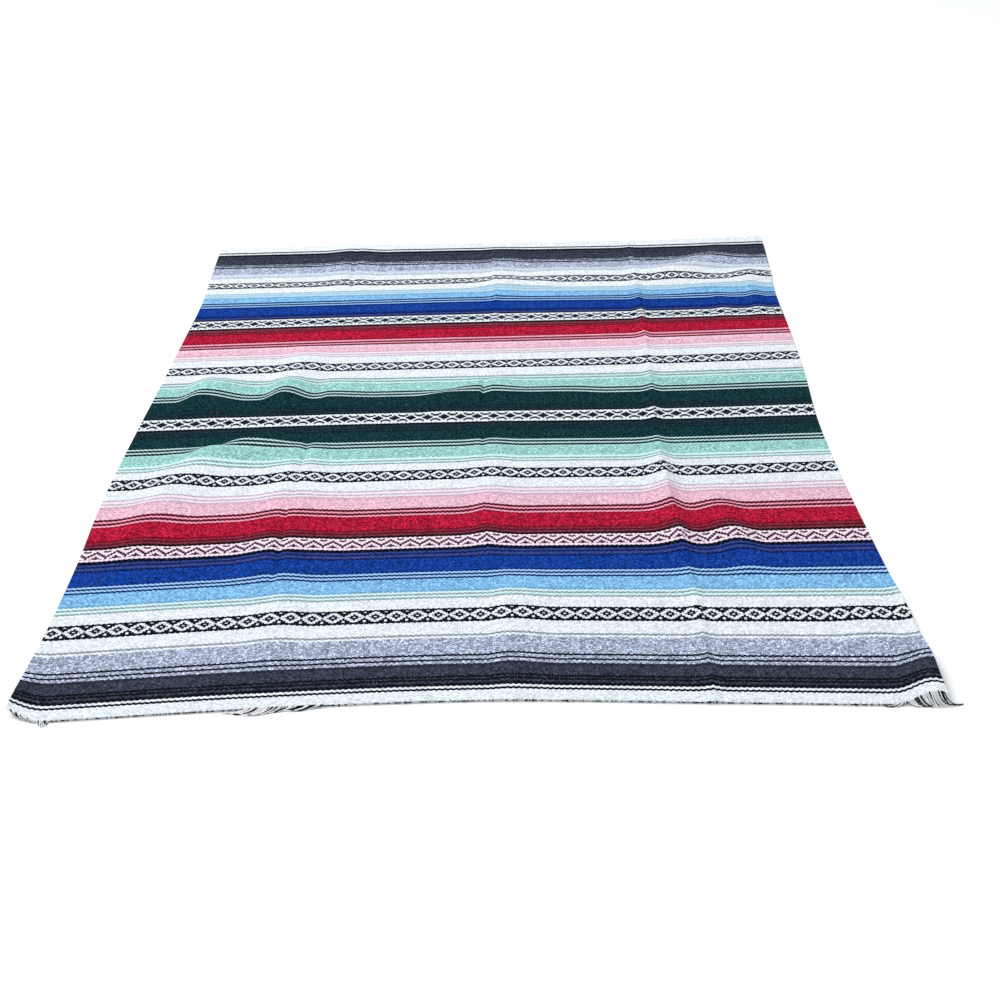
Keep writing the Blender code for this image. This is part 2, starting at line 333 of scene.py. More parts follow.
# %% Folds: where air lies under the cloth
Fold = namedtuple("Fold", "x y length left right height bearing")
FOLDS = (
    # Swells beside the stored creases.
    Fold(-0.330, 0.45, 0.40, 0.075, 0.060, 0.0080, 0),
    Fold(-0.325, 0.68, 0.26, 0.075, 0.065, 0.0060, 0),
    Fold(-0.315, 1.69, 0.40, 0.080, 0.070, 0.0050, 0),
    Fold(0.032, 0.18, 0.42, 0.035, 0.075, 0.0045, 0),
    Fold(-0.300, 0.22, 0.34, 0.060, 0.055, 0.0045, 0),
    Fold(-0.280, 0.47, 0.36, 0.045, 0.060, 0.0035, 0),
    Fold(0.005, 0.62, 0.60, 0.060, 0.055, 0.0040, 0),
    Fold(0.028, 1.64, 0.40, 0.060, 0.065, 0.0045, 0),
    Fold(0.305, 0.55, 0.50, 0.060, 0.035, 0.0045, 0),
    # Soft humps left of the middle.
    Fold(-0.535, 0.980, 0.20, 0.050, 0.090, 0.0155, 6),
    Fold(-0.382, 0.985, 0.17, 0.048, 0.055, 0.0165, 4),
    Fold(-0.366, 1.12, 0.20, 0.060, 0.065, 0.0060, 6),
    Fold(-0.448, 0.757, 0.24, 0.030, 0.100, 0.0160, 55),
    Fold(-0.528, 0.59, 0.36, 0.070, 0.075, 0.0090, 8),
    Fold(-0.545, 0.42, 0.16, 0.060, 0.060, 0.0040, 0),
    Fold(-0.300, 0.990, 0.20, 0.030, 0.090, 0.0040, 0),
    Fold(-0.045, 0.995, 0.24, 0.040, 0.085, 0.0090, 58),
    Fold(0.095, 1.000, 0.26, 0.038, 0.065, 0.0050, 84),
    # Soft humps right of the middle.
    Fold(0.388, 0.465, 0.32, 0.048, 0.052, 0.0100, -7),
    Fold(0.460, 1.705, 0.31, 0.055, 0.085, 0.0110, 42),
    Fold(0.195, 1.645, 0.26, 0.045, 0.050, 0.0050, 88),
    Fold(0.355, 1.655, 0.15, 0.045, 0.050, 0.0060, 78),
    Fold(0.582, 1.635, 0.12, 0.055, 0.060, 0.0070, 84),
    Fold(0.050, 1.572, 0.22, 0.034, 0.045, 0.0070, 86),
    Fold(0.500, 1.560, 0.22, 0.045, 0.050, 0.0050, 70),
    Fold(0.572, 1.530, 0.36, 0.026, 0.030, 0.0040, 2),
    Fold(0.492, 1.450, 0.18, 0.026, 0.030, 0.0028, 0),
    # Edges that curl off the ground.
    Fold(0.606, 0.03, 0.25, 0.048, 0.055, 0.0150, 4),
    Fold(0.632, 0.19, 0.30, 0.046, 0.050, 0.0085, 0),
    Fold(0.562, 0.18, 0.18, 0.075, 0.060, 0.0042, 0),
    Fold(-0.655, 0.02, 0.30, 0.060, 0.065, 0.0090, -8),
)
print("folds:", len(FOLDS), "the highest one, mm:", 1000 * max(fold.height for fold in FOLDS))


# %% How high the cloth lies
def fold_height(share, along, x, y):
    """Add up how far the creases and folds lift the cloth, never below the ground."""
    height = np.zeros_like(x)
    for crease in CREASES:
        across = (share - crease.share) * CLOTH_WIDTH
        reach = np.where(across < 0, crease.left, crease.right)
        middle = (crease.start + crease.end) / 2
        from_middle = (along - middle) / (crease.end - middle)
        height += crease.height * pinch(across / reach) * swell(from_middle**2)
    for fold in FOLDS:
        bearing = np.radians(fold.bearing)
        across = (x - fold.x) * np.cos(bearing) - (y - fold.y) * np.sin(bearing)
        up_crest = (x - fold.x) * np.sin(bearing) + (y - fold.y) * np.cos(bearing)
        reach = np.where(across < 0, fold.left, fold.right)
        height += fold.height * swell(across / reach) * swell((up_crest / (fold.length / 2))**2)
    return np.maximum(height, 0.0)


def hem_lift(along):
    """Hold the cloth clear of the fringe at both hems, and let it down to the ground past it."""
    from_hem = np.minimum(along, CLOTH_LENGTH - along)
    sunk = np.maximum(from_hem - HEM_FLAT, 0.0) / HEM_FALL
    return (FRINGE_WALL + SEAM_GAP) * swell(sunk)


# %% [markdown]
# The warp of such a blanket makes ribs: every rib is two warp ends side by side, with the weft packed
# round them so tightly that only the weft shows. The mesh has a column of points on each rib and one in
# each furrow beside it, so the ribs are real on both faces. Solidify gives the sheet its thickness, and a
# vertex group makes it thinner in the furrows and at the four edges. A small bevel rounds the edges.

# %% The sheet
RIBS = 325
COLUMNS = 2 * RIBS
HEM_ROWS = (0.0, 0.0025, 0.010, 0.022, 0.040, 0.060, 0.080, 0.100)
INNER_ROWS = 54
FURROW = 0.66           # the wall's share that is left in a furrow
EDGE_ROUND = 0.0006
EDGE_ANGLE = math.radians(50)

inner_rows = np.linspace(HEM_ROWS[-1], CLOTH_LENGTH - HEM_ROWS[-1], INNER_ROWS + 1)[1:-1]
row_places = np.concatenate([HEM_ROWS, inner_rows, CLOTH_LENGTH - np.array(HEM_ROWS)[::-1]])
rows = len(row_places) - 1

deselect_all()
bpy.ops.mesh.primitive_grid_add(
    x_subdivisions=COLUMNS, y_subdivisions=rows, size=1.0, location=(0.0, 0.0, 0.0))
cloth = take_new("serape_cloth")
flat_points = np.zeros(3 * len(cloth.data.vertices))
cloth.data.vertices.foreach_get("co", flat_points)
flat_points = flat_points.reshape(-1, 3)
column = np.rint((flat_points[:, 0] + 0.5) * COLUMNS).astype(int)
row = np.rint((flat_points[:, 1] + 0.5) * rows).astype(int)
print("grid of", COLUMNS, "by", rows, "faces")

# %% Lay the sheet where the weave lies
share = column / COLUMNS
along = row_places[row]
along = along + near_hem(share) * np.maximum(1.0 - along / HEM_FLAT, 0.0)
place_across = leaned(share, along)
x, y = weave_place(place_across, along)
z = fold_height(place_across, along, x, y) + hem_lift(along) + CLOTH_WALL / 2
cloth.data.vertices.foreach_set("co", np.stack([x + HEM_X, y + HEM_Y, z], axis=1).ravel())

weave_map = cloth.data.uv_layers[0]
weave_map.name = "weave"
loop_points = np.zeros(len(cloth.data.loops), dtype=np.int32)
cloth.data.loops.foreach_get("vertex_index", loop_points)
places = np.stack([share[loop_points], along[loop_points] / CLOTH_LENGTH], axis=1)
weave_map.data.foreach_set("uv", places.ravel())

ribs_group = cloth.vertex_groups.new(name="ribs")
on_rib = np.flatnonzero((column % 2 == 1) & (row > 0) & (row < rows))
ribs_group.add(on_rib.tolist(), 1.0, "REPLACE")
print("points on the ribs:", len(on_rib), "highest point, mm:", round(1000 * z.max(), 1))

# %% Give it a wall
make_active(cloth)
wall = cloth.modifiers.new("wall", "SOLIDIFY")
wall.thickness = CLOTH_WALL
wall.offset = 0.0
wall.vertex_group = "ribs"
wall.thickness_vertex_group = FURROW
bpy.ops.object.modifier_apply(modifier="wall")
edges = cloth.modifiers.new("edges", "BEVEL")
edges.width = EDGE_ROUND
edges.segments = 1
edges.limit_method = "ANGLE"
edges.angle_limit = EDGE_ANGLE
bpy.ops.object.modifier_apply(modifier="edges")
for face in cloth.data.polygons:
    face.use_smooth = True
print("cloth triangles:", sum(len(face.vertices) - 2 for face in cloth.data.polygons))

# %% [markdown]
# ## The weave's finish
#
# The finish is worked out in weave coordinates, so it follows the cloth over every fold. A rib and a pick
# number each float of weft, the little bar of yarn that shows between two dives under the warp. The
# floats of neighbouring ribs are half a step apart, which makes the toothed edges of the stripes. One
# long plan names the yarn of every course. Three small charts say which floats of the diamond, lattice
# and zigzag bands take a second yarn. They are sums on the float's place, as the weaver counts them too.
#
# The sums are written as Python expressions. `Wire` stands for a socket, and writing a + b on wires adds
# the Math node that adds them.


# %% Shader sums
class Wire:
    """A number, colour or vector that a node of a finish gives."""

    def __init__(self, finish, socket):
        self.finish = finish
        self.socket = socket

    def math(self, operation, *values):
        """Put one or more numbers through a Math node."""
        return self.finish.node("ShaderNodeMath", {"operation": operation}, dict(enumerate(values)))

    def __add__(self, other):
        return self.math("ADD", self, other)

    __radd__ = __add__

    def __sub__(self, other):
        return self.math("SUBTRACT", self, other)

    def __rsub__(self, other):
        return self.math("SUBTRACT", other, self)

    def __mul__(self, other):
        return self.math("MULTIPLY", self, other)

    __rmul__ = __mul__

    def __truediv__(self, other):
        return self.math("DIVIDE", self, other)

    def __gt__(self, other):
        return self.math("GREATER_THAN", self, other)

    def __lt__(self, other):
        return self.math("LESS_THAN", self, other)

    def __mod__(self, other):
        return self.math("FLOORED_MODULO", self, other)

    def __abs__(self):
        return self.math("ABSOLUTE", self)

    def floor(self):
        return self.math("FLOOR", self)

    def cosine(self):
        return self.math("COSINE", self)

    def or_else(self, other):
        """Give the larger of two masks."""
        return self.math("MAXIMUM", self, other)

    def near(self, value, reach):
        """Give 1 where this is within `reach` of a value, and 0 elsewhere."""
        return abs(self - value) < reach


class Finish:
    """A material, and the nodes that work it out."""

    def __init__(self, name):
        self.material = bpy.data.materials.new(name)
        self.material.use_nodes = True
        self.tree = self.material.node_tree
        self.shader = self.tree.nodes["Principled BSDF"]

    def node(self, kind, settings=None, values=None, output=0):
        """Add a node: first its settings, a ramp's stops among them, then its sockets' values or wires."""
        made = self.tree.nodes.new(kind)
        for setting, value in (settings or {}).items():
            if setting == "stops":
                self.set_stops(made.color_ramp, value)
            else:
                setattr(made, setting, value)
        for place, value in (values or {}).items():
            self.feed(made.inputs[place], value)
        return Wire(self, made.outputs[output])

    def set_stops(self, ramp, stops):
        """Fill a stepped ramp with (place, colour) stops, of which the first is at 0."""
        ramp.interpolation = "CONSTANT"
        ramp.elements.remove(ramp.elements[1])
        ramp.elements[0].color = stops[0][1]
        for place, colour in stops[1:]:
            ramp.elements.new(place).color = colour

    def feed(self, socket, value):
        """Link a wire to a socket, or set a plain value on it."""
        if isinstance(value, Wire):
            self.tree.links.new(value.socket, socket)
        else:
            socket.default_value = value

    def give(self, **values):
        """Feed the shader's own sockets, written with _ for a space."""
        for name, value in values.items():
            self.feed(self.shader.inputs[name.replace("_", " ")], value)

    def mix(self, share, first, second, blend="MIX"):
        """Mix two colours."""
        settings = {"data_type": "RGBA", "blend_type": blend}
        return self.node("ShaderNodeMix", settings, {0: share, 6: first, 7: second}, 2)

    def power(self, base, exponent):
        """Raise a plain number to a power."""
        return self.node("ShaderNodeMath", {"operation": "POWER"}, {0: base, 1: exponent})

    def vector(self, x, y, z=0.0):
        """Make a vector of three numbers."""
        return self.node("ShaderNodeCombineXYZ", None, {0: x, 1: y, 2: z})


def linear(red, green, blue, alpha=1.0):
    """Turn a colour read on a 0 to 255 dye card into the linear light that a shader takes."""
    def channel(value):
        value /= 255
        return value / 12.92 if value <= 0.04045 else ((value + 0.055) / 1.055)**2.4

    return channel(red), channel(green), channel(blue), alpha


print("white yarn, linear:", [round(value, 2) for value in linear(238, 241, 246)])

# %% The yarns: a dyed colour, and how speckled the spinning is
Yarn = namedtuple("Yarn", "red green blue heather")
YARNS = {
    "white": Yarn(236, 243, 248, 0.15),
    "end white": Yarn(237, 245, 250, 0.14),
    "black": Yarn(11, 14, 23, 0.20),
    "ink": Yarn(2, 12, 22, 0.20),
    "coal": Yarn(38, 45, 60, 0.30),
    "charcoal": Yarn(50, 57, 72, 0.42),
    "navy": Yarn(12, 18, 40, 0.20),
    "light grey": Yarn(166, 175, 197, 0.44),
    "ash": Yarn(146, 156, 166, 0.20),
    "lavender": Yarn(196, 206, 220, 0.14),
    "pale lavender": Yarn(212, 222, 236, 0.12),
    "grey green": Yarn(148, 170, 172, 0.20),
    "mint white": Yarn(218, 250, 249, 0.06),
    "ice": Yarn(220, 248, 253, 0.06),
    "grey blue": Yarn(122, 172, 206, 0.20),
    "frost": Yarn(186, 224, 248, 0.08),
    "frost grey": Yarn(172, 200, 214, 0.10),
    "light blue": Yarn(131, 189, 235, 0.26),
    "pale blue": Yarn(162, 206, 250, 0.10),
    "deep blue": Yarn(4, 38, 96, 0.15),
    "royal": Yarn(8, 58, 146, 0.38),
    "dark royal": Yarn(3, 44, 120, 0.30),
    "indigo": Yarn(7, 24, 92, 0.25),
    "slate blue": Yarn(52, 70, 136, 0.20),
    "midnight": Yarn(5, 8, 38, 0.20),
    "slate": Yarn(24, 44, 52, 0.25),
    "deep teal": Yarn(4, 36, 46, 0.25),
    "bottle green": Yarn(8, 44, 44, 0.20),
    "dark slate": Yarn(16, 27, 32, 0.25),
    "far slate": Yarn(22, 40, 60, 0.25),
    "pink white": Yarn(250, 232, 244, 0.08),
    "wine": Yarn(74, 26, 54, 0.20),
    "oxblood": Yarn(36, 2, 10, 0.20),
    "mauve": Yarn(122, 52, 70, 0.25),
    "maroon": Yarn(90, 10, 34, 0.20),
    "brick": Yarn(140, 40, 60, 0.25),
    "dark red": Yarn(118, 6, 26, 0.25),
    "crimson": Yarn(142, 14, 44, 0.28),
    "red": Yarn(172, 16, 50, 0.44),
    "rose": Yarn(250, 165, 190, 0.12),
    "pink": Yarn(238, 190, 208, 0.20),
    "light pink": Yarn(250, 204, 223, 0.16),
    "dusk pink": Yarn(214, 180, 198, 0.12),
    "pale pink": Yarn(252, 234, 246, 0.08),
    "pale mauve": Yarn(198, 186, 198, 0.12),
    "mint": Yarn(154, 207, 202, 0.26),
    "light mint": Yarn(178, 222, 219, 0.12),
    "pale teal": Yarn(196, 226, 228, 0.10),
    "dark green": Yarn(3, 48, 52, 0.38),
}
print("yarns:", len(YARNS))

# %% The plan: how many rows of each yarn, from the near hem to the far one
PLAN = (
    # The near end, and charcoal with its lines.
    (9, "end white"), (2, "black"), (2, "white"), (3, "black"), (2, "charcoal"), (2, "black"),
    (1, "charcoal"), (2, "black"), (9, "charcoal"), (3, "coal"), (3, "light grey"), (2, "navy"),
    (3, "light grey"), (2, "navy"), (17, "light grey"), (2, "white"), (2, "ash"), (13, "white"),
    (15, "diamond"),
    # White into light blue and royal.
    (11, "white"), (2, "grey green"), (2, "ice"), (2, "grey green"), (2, "ice"), (2, "grey blue"),
    (13, "light blue"), (2, "deep blue"), (2, "pale blue"), (2, "deep blue"), (2, "pale blue"),
    (2, "dark royal"), (15, "royal"), (2, "indigo"), (3, "slate blue"), (2, "indigo"),
    (2, "slate blue"), (4, "midnight"), (14, "zigzag"),
    # Maroon, red and pink.
    (3, "oxblood"), (2, "mauve"), (2, "maroon"), (2, "brick"), (2, "dark red"), (16, "red"),
    (2, "crimson"), (2, "rose"), (3, "maroon"), (2, "rose"), (3, "maroon"), (14, "pink"),
    (3, "dusk pink"), (2, "pale pink"), (2, "pale mauve"), (3, "pale pink"), (2, "pale mauve"),
    (13, "white"), (15, "diamond"),
    # Mint and dark green, up to the middle lattice.
    (10, "white"), (2, "grey green"), (2, "mint white"), (2, "grey green"), (3, "mint white"),
    (14, "mint"), (2, "light mint"), (3, "bottle green"), (2, "pale teal"), (3, "bottle green"),
    (2, "pale teal"), (16, "dark green"), (3, "deep teal"), (2, "slate"), (2, "deep teal"),
    (4, "slate"), (3, "ink"), (17, "lattice"),
    # Dark green and mint again.
    (2, "ink"), (3, "slate"), (2, "deep teal"), (2, "slate"), (2, "deep teal"), (16, "dark green"),
    (3, "deep teal"), (2, "pale teal"), (3, "bottle green"), (2, "pale teal"), (3, "bottle green"),
    (2, "light mint"), (13, "mint"), (2, "mint white"), (3, "grey green"), (2, "mint white"),
    (3, "grey green"), (15, "white"), (15, "diamond"),
    # Pink, red and maroon.
    (13, "white"), (2, "pale mauve"), (2, "pale pink"), (2, "pale mauve"), (3, "pale pink"),
    (2, "dusk pink"), (9, "pink"), (4, "light pink"), (3, "maroon"), (2, "rose"), (3, "maroon"),
    (3, "rose"), (3, "crimson"), (16, "red"), (2, "dark red"), (2, "brick"), (2, "maroon"),
    (4, "mauve"), (4, "oxblood"), (17, "far lattice"),
    # Royal and light blue.
    (3, "midnight"), (3, "slate blue"), (3, "indigo"), (3, "dark royal"), (14, "royal"),
    (4, "dark royal"), (2, "pale blue"), (3, "deep blue"), (2, "pale blue"), (3, "deep blue"),
    (9, "light blue"), (3, "grey blue"), (3, "frost"), (2, "frost grey"), (2, "frost"),
    (3, "frost grey"), (12, "white"), (13, "diamond"),
    # Grey and charcoal, and the far end.
    (11, "white"), (5, "lavender"), (5, "pale lavender"), (16, "light grey"), (3, "navy"),
    (2, "light grey"), (2, "navy"), (1, "light grey"), (3, "coal"), (11, "charcoal"), (3, "coal"),
    (4, "charcoal"), (5, "black"), (3, "white"), (3, "black"), (14, "end white"),
)

# A chart's rows are those it is drawn on. A band with fewer of them squeezes it.
Chart = namedtuple("Chart", "rows ground figure")
CHARTS = {
    "diamond": Chart(15, "black", "white"),
    "zigzag": Chart(14, "pink white", "wine"),
    "lattice": Chart(17, "white", "dark slate"),
    "far lattice": Chart(17, "white", "far slate"),
}

Stripe = namedtuple("Stripe", "start end yarn")
stripes = []
for count, yarn_name in PLAN:
    start = stripes[-1].end if stripes else 0
    stripes.append(Stripe(start, start + count, yarn_name))
WEFT_ROWS = stripes[-1].end
print("rows of weft:", WEFT_ROWS, "each of mm:", round(1000 * CLOTH_LENGTH / WEFT_ROWS, 2))

# %% [markdown]
# A ramp node is a table of 256 steps, so one ramp can't hold the whole plan. The plan is cut into runs
# of at most 110 rows, a ramp each. Past the start of a run, its ramp takes over from the one before. The
# ramp's alpha carries how speckled the yarn is.

# %% The yarn of each course
RAMP_ROWS = 110
RAMP_STOPS = 31
TEETH = 0.12            # how far a float bulges into the ribs beside it, as a share of a rib
EVEN_LOOKUP = 0.95      # where in its row a float is looked up, to stay clear of the ramp's steps


def plan_runs():
    """Cut the stripes into runs that one ramp can hold."""
    run = [stripes[0]]
    for stripe in stripes[1:]:
        if stripe.end - run[0].start > RAMP_ROWS or len(run) == RAMP_STOPS:
            yield run
            run = []
        run.append(stripe)
    yield run


def yarn_colour(name):
    """Give a yarn's colour, or that of a chart's ground, with its speckle as the alpha."""
    yarn = YARNS[CHARTS[name].ground if name in CHARTS else name]
    return linear(yarn.red, yarn.green, yarn.blue, yarn.heather)


def stripe_colours(finish, lookup):
    """Give the colour and the speckle of the yarn at a row of weft."""
    colour = None
    speckle = None
    for run in plan_runs():
        first = run[0].start
        length = run[-1].end - first
        stops = [((stripe.start - first) / length, yarn_colour(stripe.yarn)) for stripe in run]
        ramp = finish.node("ShaderNodeValToRGB", {"stops": stops}, {0: (lookup - first) / length})
        ramp_speckle = Wire(finish, ramp.socket.node.outputs[1])
        if colour is None:
            colour, speckle = ramp, ramp_speckle
        else:
            reached = lookup > first
            colour = finish.mix(reached, colour, ramp)
            speckle = speckle + reached * (ramp_speckle - speckle)
    return colour, speckle


print("ramps:", len(list(plan_runs())), "stops in each:", [len(run) for run in plan_runs()])


# %% [markdown]
# A float is found in three steps. The place across the cloth is bent a little first, so that a float
# bulges where the ones beside it dive. The whole part of it is the rib, and the fraction is how far across
# the float the place is. Along the warp the same is done with the row, half a row later on every other rib.

# %% Find the float at each place
Floats = namedtuple("Floats", "across along rib in_rib pick in_pick lookup middle")


def find_floats(finish):
    """Give the rib, the pick, and the place in its float, of each place on the cloth."""
    place = finish.node("ShaderNodeUVMap", {"uv_map": "weave"})
    split = finish.node("ShaderNodeSeparateXYZ", None, {0: place})
    across = split * RIBS
    along = Wire(finish, split.socket.node.outputs[1]) * WEFT_ROWS
    bulge = (along * math.tau).cosine() * (across * math.pi).cosine() * TEETH
    bent = across - bulge
    rib = bent.floor()
    odd = rib % 2
    shifted = along - odd * 0.5
    pick = shifted.floor()
    start = pick + odd * 0.5
    return Floats(across, along, rib, bent - rib - 0.5, pick, shifted - pick - 0.5,
                  start + EVEN_LOOKUP, start + 0.5)


# %% The charts of the patterned bands
REPEAT = 8              # ribs in one repeat of a chart
PHASE = 2               # ribs that the first repeat is shifted by
DIAMOND_MIDDLE = CHARTS["diamond"].rows / 2
LATTICE_MIDDLE = CHARTS["lattice"].rows / 2
ZIGZAG_DIP = 5.0        # how many rows up the zigzag's dips are
ZIGZAG_CLIMB = 1.38     # how many rows it climbs from a rib to the next


def chart_place(floats, name):
    """Give 1 on a chart's bands and 0 elsewhere, and how many rows up the chart a float is."""
    inside_any = 0
    height = 0
    for stripe in stripes:
        if stripe.yarn != name:
            continue
        inside = (floats.lookup > stripe.start) * (floats.lookup < stripe.end)
        rows_in_chart = CHARTS[name].rows / (stripe.end - stripe.start)
        inside_any = inside_any + inside
        height = height + inside * (floats.middle - stripe.start) * rows_in_chart
    return inside_any, height


def diamond_figure(step, height):
    """White diamonds in a row, with a dot in each and one in each gap above and below."""
    from_middle = abs(height - DIAMOND_MIDDLE)
    outside = from_middle > 3.6 - 1.4 * step
    outline = outside * (from_middle < 6.5 - 1.4 * step) * (from_middle < 5.3)
    gap_dots = (step > 3.5) * height.near(3.0, 0.6).or_else(height.near(12.4, 0.4))
    inner_dot = (step < 0.5) * height.near(DIAMOND_MIDDLE, 0.4)
    return outline.or_else(gap_dots).or_else(inner_dot)


def lattice_figure(step, height):
    """Dark cells between two crossed white zigzags, and a dark chevron over and under each crossing."""
    from_middle = abs(height - LATTICE_MIDDLE)
    cells = from_middle < 4.6 - 1.55 * step
    chevrons = (from_middle > 6.3 - 1.3 * step) * (from_middle < 8.3 - 0.95 * step) * (step > 1.5)
    return cells.or_else(chevrons)


def zigzag_figure(step, height):
    """A dark zigzag with a stem under each dip, a triangle under each peak and a mark over each dip."""
    line = height.near(ZIGZAG_DIP + ZIGZAG_CLIMB * step, 1.4)
    stem = (step < 0.5) * height.near(3.6, 1.4)
    under_peak = (height > 2.2) * (height < 1.4 * step + 0.2)
    over_dip = (height < 12.3) * (height > 10.3 + 0.5 * step) * (step < 1.5)
    return line.or_else(stem).or_else(under_peak).or_else(over_dip)


FIGURES = {
    "diamond": diamond_figure,
    "zigzag": zigzag_figure,
    "lattice": lattice_figure,
    "far lattice": lattice_figure,
}


def charted_colours(finish, floats, colour, speckle):
    """Put the figures of the patterned bands over the plain stripes."""
    step = abs((floats.rib + PHASE) % REPEAT - REPEAT / 2)
    for name, chart in CHARTS.items():
        inside, height = chart_place(floats, name)
        figure = inside * FIGURES[name](step, height)
        figure_yarn = yarn_colour(chart.figure)
        colour = finish.mix(figure, colour, figure_yarn)
        speckle = speckle + figure * (figure_yarn[3] - speckle)
    return colour, speckle


print("charted bands:", [stripe.yarn for stripe in stripes if stripe.yarn in CHARTS])

# %% [markdown]
# A hand-spun look comes from small uneven things: each fleck of fibre a little lighter or darker than the
# next, most of all in the heathered yarns, and each length of yarn its own shade. Here and there the pale
# warp glints between two ribs, which shows most in the dark stripes. The bump gives each float its round
# back, and a fine noise its fibres. Shade is painted into the colour as well: each float is darker at its
# sides and ends, and soft patches that are partly painted shade stand for small ripples.

# %% The woven finish
GRAIN_PER_RIB = 3       # flecks of fibre side by side on one float
HEATHER = 5.0           # how strongly a heathered yarn varies in shade
YARN_SHADE = 0.10       # slow change of shade along a course
PATCH_SHADE_AND_TONE = 0.08      # soft patches, partly painted shade of small ripples in the cloth and partly uneven tone
PATCH_SCALE = 22.0      # how many of them there are in a metre
RUN_ACROSS = 0.03       # how fast a course changes its shade, for each rib
RUN_APART = 7.3         # how far apart in the noise two courses are, so that they differ
TINT = 0.02             # how much undyed fibre a pale fleck holds
PALE_FIBRE = (0.72, 0.76, 0.84, 1.0)
WARP_TINT = (0.50, 0.54, 0.62, 1.0)
GLINT = 0.15            # how much of the warp shows at its clearest
SOAK = 0.91             # what is left of the light after the small gaps between the fibres
FURROW_PAINTED_SHADE = 0.06     # painted shade: how much darker a float is at its sides, in the furrows
DIVE_PAINTED_SHADE = 0.12       # and painted shade at the two ends, where it dives
FLOAT_RELIEF = 0.0005
FLOAT_DIP = 0.7         # how far a float's back falls towards its two ends
FIBRE_SCALE = 3.0
FIBRE_RELIEF = 0.5      # the fibres' share of the relief


def random_number(finish, first, second):
    """Give a random number from 0 to 1 for each pair of whole numbers."""
    place = finish.vector(first, second)
    return finish.node("ShaderNodeTexWhiteNoise", {"noise_dimensions": "2D"}, {"Vector": place})


def soft_noise(finish, place, scale, detail=2.0):
    """Give smooth noise from 0 to 1 at a place."""
    values = {"Vector": place, "Scale": scale, "Detail": detail}
    return finish.node("ShaderNodeTexNoise", None, values)


weave = Finish("woven_stripes")
floats = find_floats(weave)
colour, speckle = stripe_colours(weave, floats.lookup)
colour, speckle = charted_colours(weave, floats, colour, speckle)

edge = abs(floats.in_rib) * 2
tip = abs(floats.in_pick) * 2
furrow = edge * edge * edge * edge
dive = tip * tip * tip * tip
grain = random_number(weave, (floats.across * GRAIN_PER_RIB).floor(), floats.pick)
own_shade = (grain + random_number(weave, floats.rib, floats.pick)) * 0.5 - 0.5
yarn_run = soft_noise(weave, weave.vector(floats.across * RUN_ACROSS, floats.pick * RUN_APART), 1.0) - 0.5
object_place = weave.node("ShaderNodeTexCoord", None, None, "Object")
# Soft patches: partly painted shade, as small ripples in the cloth would give, and partly uneven tone.
shade_and_tone_patches = soft_noise(weave, object_place, PATCH_SCALE) - 0.5
heather = weave.power(math.e, own_shade * speckle * HEATHER)
shade = SOAK * heather * (1 + yarn_run * YARN_SHADE + shade_and_tone_patches * PATCH_SHADE_AND_TONE)
# Painted shade: each float is darker at its sides, in the furrows between ribs, and at its two ends, where
# it dives.
shade = shade * (1 - furrow * FURROW_PAINTED_SHADE) * (1 - dive * DIVE_PAINTED_SHADE)
glint = random_number(weave, (floats.across + 0.5).floor(), (floats.pick * 0.5).floor())
glint = glint * glint * glint * glint * furrow * GLINT
colour = weave.mix(grain * speckle * TINT, colour, PALE_FIBRE)
colour = weave.mix(1.0, colour, shade, "MULTIPLY")
colour = weave.mix(glint, colour, WARP_TINT)

fibre_place = weave.vector(floats.across, floats.along)
fibres = soft_noise(weave, fibre_place, FIBRE_SCALE, 3.0)
relief = (1 - edge * edge) * (1 - tip * tip * FLOAT_DIP) + fibres * FIBRE_RELIEF
bump = weave.node("ShaderNodeBump", None, {"Distance": FLOAT_RELIEF, "Strength": 1.0, "Height": relief})
weave.give(Base_Color=colour, Roughness=0.95, Specular_IOR_Level=0.01, Normal=bump)
cloth.data.materials.clear()
cloth.data.materials.append(weave.material)
print("nodes in the woven finish:", len(weave.tree.nodes))

# %% [markdown]
# ## The fringe
#
# The warp ends stick out of both hems, two at each rib, some white and some black. They were combed under
# the hems when the blanket was laid out, so most of an end is hidden. At the near hem three tufts of them
# show: at the left corner, left of the middle, and at the right corner, where the hem curls up.
#
# An end is a cord, so its mesh is a thin tube round a path. All the paths of a hem are worked out at once:
# out of the hem, over its edge, and back under it, or out along the ground in a tuft. The tubes have only
# a few faces each, because there are 650 of them at a hem.

# %% Sizes of the fringe
ENDS_PER_RIB = 2
END_RADIUS = 0.0009
END_SIDES = 4
END_RINGS = 9
ROOT_DEPTH = 0.0030     # how far inside the hem an end starts
PEEP = (-0.0022, -0.0012)   # how far a hidden end stands out past its hem
STRAY_SHARE = 0.03      # how many of them stand out further
STRAY_PEEP = 0.0025
TUCK = (0.020, 0.058)   # how far it runs back under it
SWAY = 0.006            # how far it wanders to either side
LAYERS = (0.0009, 0.0011)   # how high the ends lie under the hem
STAY_WHITE = 0.65       # how often the end after a white one is white too
STAY_DARK = 0.50

# A tuft is the ends between two shares of the width: how far they reach out, and how far to the right.
Tuft = namedtuple("Tuft", "start end reach sweep")
NEAR_TUFTS = (
    Tuft(0.000, 0.034, 0.0045, 0.016),
    Tuft(0.035, 0.044, 0.0095, 0.004),
    Tuft(0.250, 0.302, 0.0125, -0.024),
    Tuft(0.302, 0.334, 0.0070, -0.022),
    Tuft(0.944, 0.957, 0.0035, -0.012),
    Tuft(0.957, 0.998, 0.0120, 0.017),
)
print("warp ends at a hem:", ENDS_PER_RIB * RIBS)


